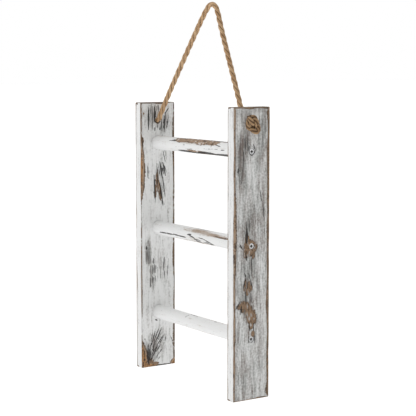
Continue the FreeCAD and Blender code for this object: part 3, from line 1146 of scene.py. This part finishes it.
def whitewash(name, grain, thin_low, thin_high, rubbed_wood):
    """Worn white paint on wood whose grain runs where its scale is smallest."""
    material, shader, start = new_finish(name)
    place = start.node("ShaderNodeTexCoord", output="Object")
    hair = speckle(place, grain * HAIR_FINER, 5.0)
    lines = speckle(place, grain, 4.0)
    mottle = speckle(place, EVEN * MOTTLE_SCALE, 4.0)
    cloud = speckle(place, grain * 0.25 + EVEN * CLOUD_SCALE)
    blotch = speckle(place, grain * 0.5 + EVEN * BLOTCH_SCALE, 2.0)
    # On the rungs, thinner paint cover along the undersides and the middle rung's top edge is painted shade
    cover_and_shade = kept(start, "wash_and_shade") + lines * 1.3 + hair * 1.2 + mottle + cloud * 0.25
    worn = kept(start, "bare") + mottle * 0.5 + lines * 0.35
    rubbed = kept(start, "spot") + mottle * 0.8 + lines * 0.9 + hair * 0.9
    # A few dark streaks are painted shade, under the bottom rung's end and round the screws
    stain_and_shade = fade(kept(start, "stain_and_shade") + lines * 0.5 + hair * 0.6 + mottle * 0.7, *STAIN_AND_SHADE_RISE)
    edge = fade(worn, *BARE_RISE)
    spot = fade(rubbed, *BARE_RISE) * (1 - fade(blotch, *FLAKE_RISE) * FLAKE_STRENGTH)
    bare = start.maths("MAXIMUM", edge, spot)
    tint = blend(fade(cloud, *TINT_RISE), thin_low, thin_high)
    paint = blend(fade(cover_and_shade, *PAINT_RISE), tint, FULL_PAINT)
    wood = blend(fade(worn, *PALE_RISE), rubbed_wood, WOOD_PALE)
    wood = blend(fade(worn, *TAN_RISE), wood, WOOD_TAN)
    fibres = lines * 0.7 + hair * 0.9 + mottle * 1.1 - blotch * 1.2
    wood = blend(fade(fibres, *FIBRE_RISE) * FIBRE_STRENGTH, wood, WOOD_DARK)
    rim = start.maths("MAXIMUM", edge * (1 - fade(worn, *EDGE_RIM)), spot * (1 - fade(rubbed, *SPOT_RIM)))
    colour = blend(rim * RIM_STRENGTH, blend(bare, paint, wood), WOOD_DARK)
    colour = blend(stain_and_shade * STAIN_AND_SHADE_STRENGTH, colour, STAIN_AND_SHADE_BROWN)
    feed(shader, "Base Color", colour)
    feed(shader, "Roughness", PAINT_ROUGHNESS + bare * BARE_ROUGHER)
    height = lines * 0.5 + hair * 0.4 - bare * 0.5 - stain_and_shade * 0.6
    feed(shader, "Normal", relief(height, WOOD_RELIEF))
    return material


rail_finish = whitewash("whitewashed_rail", RAIL_GRAIN, THIN_BROWN, THIN_GREY, WOOD_BROWN)
rung_finish = whitewash("whitewashed_rung", RUNG_GRAIN, THIN_TAN, THIN_TAN, RUNG_BROWN)
dress(rails.values(), rail_finish)
dress(rungs.values(), rung_finish)
print("wood finishes", rail_finish.name, rung_finish.name)

# %% [markdown]
# ## Jute
#
# Jute is a pale brown fibre. The grooves between the strands get a painted shade, and single fibres run
# along each yarn, so the colour follows the map along and around each strand.

# %% Jute finish
JUTE_LIGHT = (0.66, 0.455, 0.27, 1)
JUTE_BROWN = (0.40, 0.22, 0.105, 1)
JUTE_GROOVE_SHADE = (0.085, 0.048, 0.022, 1)
JUTE_ROUGHNESS = 0.85
FIBRES_ALONG = 65
FIBRE_SCALE = (1, 7, 7)
FIBRE_RELIEF = 0.3 * MM
TONE_SCALE = 90
GROOVE_RISE = (0.02, 0.42)
LIGHT_RISE = (-0.28, 0.3)
GROOVE_SHADE_STRENGTH = 0.92


def jute():
    """Twisted jute: fibres along the yarns, with a painted shade between the strands."""
    material, shader, start = new_finish("jute_fibre")
    map_place = start.node("ShaderNodeTexCoord", output="UV")
    along = part_of(map_place, "X") * FIBRES_ALONG
    turn = part_of(map_place, "Y") * (2 * pi)
    coordinates = {"X": along, "Y": start.maths("COSINE", turn), "Z": start.maths("SINE", turn)}
    round_map = start.node("ShaderNodeCombineXYZ", {}, coordinates)
    fibres = speckle(round_map, FIBRE_SCALE, 4.0)
    tone = speckle(start.node("ShaderNodeTexCoord", output="Object"), EVEN * TONE_SCALE, 2.0)
    # The depth between the strands becomes a painted shade in the grooves
    groove_shade = fade(kept(start, "groove_shade") + fibres * 0.25, *GROOVE_RISE)
    colour = blend(fade(fibres + tone * 0.8, *LIGHT_RISE), JUTE_BROWN, JUTE_LIGHT)
    colour = blend(groove_shade * GROOVE_SHADE_STRENGTH, colour, JUTE_GROOVE_SHADE)
    feed(shader, "Base Color", colour)
    shader.inputs["Roughness"].default_value = JUTE_ROUGHNESS
    feed(shader, "Normal", relief(fibres, FIBRE_RELIEF))
    return material


jute_finish = jute()
dress(rope_nodes.values(), jute_finish)
print("rope finish", jute_finish.name)

# %% [markdown]
# ## Screws
#
# The screws were driven in before the last coat, so their heads are painted over. The solids already have
# that shape, so they stay and only get a finish that turns dark below the head's face and near its middle:
# a painted shade in the crossed recess. Small chips in the paint show dark steel.

# %% Painted screw heads
SCREW_SINK = 1.0 * MM
SCREW_FACE = (0.2 * MM, 0.05 * MM)
SCREW_SHADE_RADIUS = 1.7 * MM
SHADE_RIM_SOFTNESS = 0.2 * MM
SHADE_RIM_RAGGED = 2 * MM
CHIP_SCALE = 900
CHIP_RISE = (-0.22, -0.1)
CHIP_RELIEF = 0.05 * MM
SCREW_PAINT = (0.80, 0.80, 0.82, 1)
SCREW_STEEL_AND_SHADE = (0.035, 0.032, 0.030, 1)
SCREW_ROUGHNESS = 0.5


def painted_screw():
    """White paint on the head's face, with a painted shade in the recess and round its middle."""
    material, shader, start = new_finish("painted_screw")
    place = start.node("ShaderNodeTexCoord", output="Object")
    reach = abs(part_of(place, "X"))
    aside = part_of(place, "Y") - middle_y
    rise = part_of(place, "Z") - rung_heights["bottom"]
    rise = start.maths("PINGPONG", rise, (rung_heights["middle"] - rung_heights["bottom"]) / 2)
    radius = start.maths("SQRT", aside * aside + rise * rise)
    chips = speckle(place, EVEN * CHIP_SCALE)
    # Below the head's face and near its middle the colour turns dark: a painted shade of the crossed recess
    face = fade(reach, *(outer_x - SCREW_SINK - below for below in SCREW_FACE))
    ring = fade(radius + chips * SHADE_RIM_RAGGED, SCREW_SHADE_RADIUS - SHADE_RIM_SOFTNESS, SCREW_SHADE_RADIUS + SHADE_RIM_SOFTNESS)
    painted = face * ring * fade(chips, *CHIP_RISE)
    feed(shader, "Base Color", blend(painted, SCREW_STEEL_AND_SHADE, SCREW_PAINT))
    feed(shader, "Roughness", SCREW_ROUGHNESS + chips * 0.3)
    feed(shader, "Normal", relief(chips, CHIP_RELIEF))
    return material


screw_finish = painted_screw()
screw_nodes = [node for name, node in frame["nodes"].items() if name.endswith("_screw")]
for node in screw_nodes:
    for material_slot in node.material_slots:
        material_slot.material = screw_finish
print("screws", len(screw_nodes))

# %% [markdown]
# ## Studio
#
# The ladder hangs above a plain pale floor that glows a little, as a light table does, so that it is as
# white as the photograph's ground. The sky is brighter above and on the ladder's left and faintly yellow on
# its right, so the right faces of the rails lie in a light shade. A large lamp in front fills the rungs.
# Behind the ladder the sky itself shows as plain white.

# %% Floor
FLOOR_DROP = 0.16
FLOOR_REACH = 30.0
FLOOR_TONE = (0.8, 0.8, 0.8, 1)
FLOOR_GLOW = 0.42
FLOOR_ROUGHNESS = 0.9
WHITE = (1, 1, 1, 1)

floor_shape = bmesh.new()
bmesh.ops.create_grid(floor_shape, x_segments=1, y_segments=1, size=FLOOR_REACH)
bmesh.ops.translate(floor_shape, verts=floor_shape.verts, vec=(0, 0, feet_z - FLOOR_DROP))
floor = add_object("floor", mesh_from(floor_shape, "floor"))
floor_finish, floor_shader, _ = new_finish("pale_floor")
floor_shader.inputs["Base Color"].default_value = FLOOR_TONE
floor_shader.inputs["Roughness"].default_value = FLOOR_ROUGHNESS
floor_shader.inputs["Emission Color"].default_value = WHITE
floor_shader.inputs["Emission Strength"].default_value = FLOOR_GLOW
floor.data.materials.append(floor_finish)
print("floor at", round(feet_z - FLOOR_DROP, 3))

# %% Sky
SKY_LEVEL = 0.655
SKY_TO_RIGHT = -0.48
SKY_TO_TOP = 0.25
SKY_TURN = (-0.3, 0.5)
SKY_ON_RIGHT = (0.985, 1, 0.95, 1)

world = bpy.data.worlds.new("sky")
bpy.context.scene.world = world
world.use_nodes = True
sky = Wire(world.node_tree)
direction = sky.node("ShaderNodeTexCoord", output="Generated")
to_right = part_of(direction, "X")
to_top = part_of(direction, "Z")
level = to_right * SKY_TO_RIGHT + to_top * SKY_TO_TOP + SKY_LEVEL
seen = sky.node("ShaderNodeLightPath", output="Is Camera Ray")
level = level * (1 - seen) + seen
tone = blend(fade(to_right, *SKY_TURN) * (1 - seen), WHITE, SKY_ON_RIGHT)
backdrop = world.node_tree.nodes["Background"]
feed(backdrop, "Strength", level)
feed(backdrop, "Color", tone)
print("sky level", SKY_LEVEL)

# %% Lamp
KEY_PLACE = (-0.5, -2.6, 0.9)
KEY_SIZE = 1.8
KEY_POWER = 3

key_light = bpy.data.lights.new("key", "AREA")
key_light.size = KEY_SIZE
key_light.energy = KEY_POWER
key = add_object("key", key_light)
key.location = KEY_PLACE
key_aim = Vector((0, middle_y, middle_z)) - Vector(KEY_PLACE)
key.rotation_euler = key_aim.to_track_quat("-Z", "Y").to_euler()
bpy.context.scene.view_settings.view_transform = "Standard"
print("lamp power", KEY_POWER, "at", KEY_PLACE)
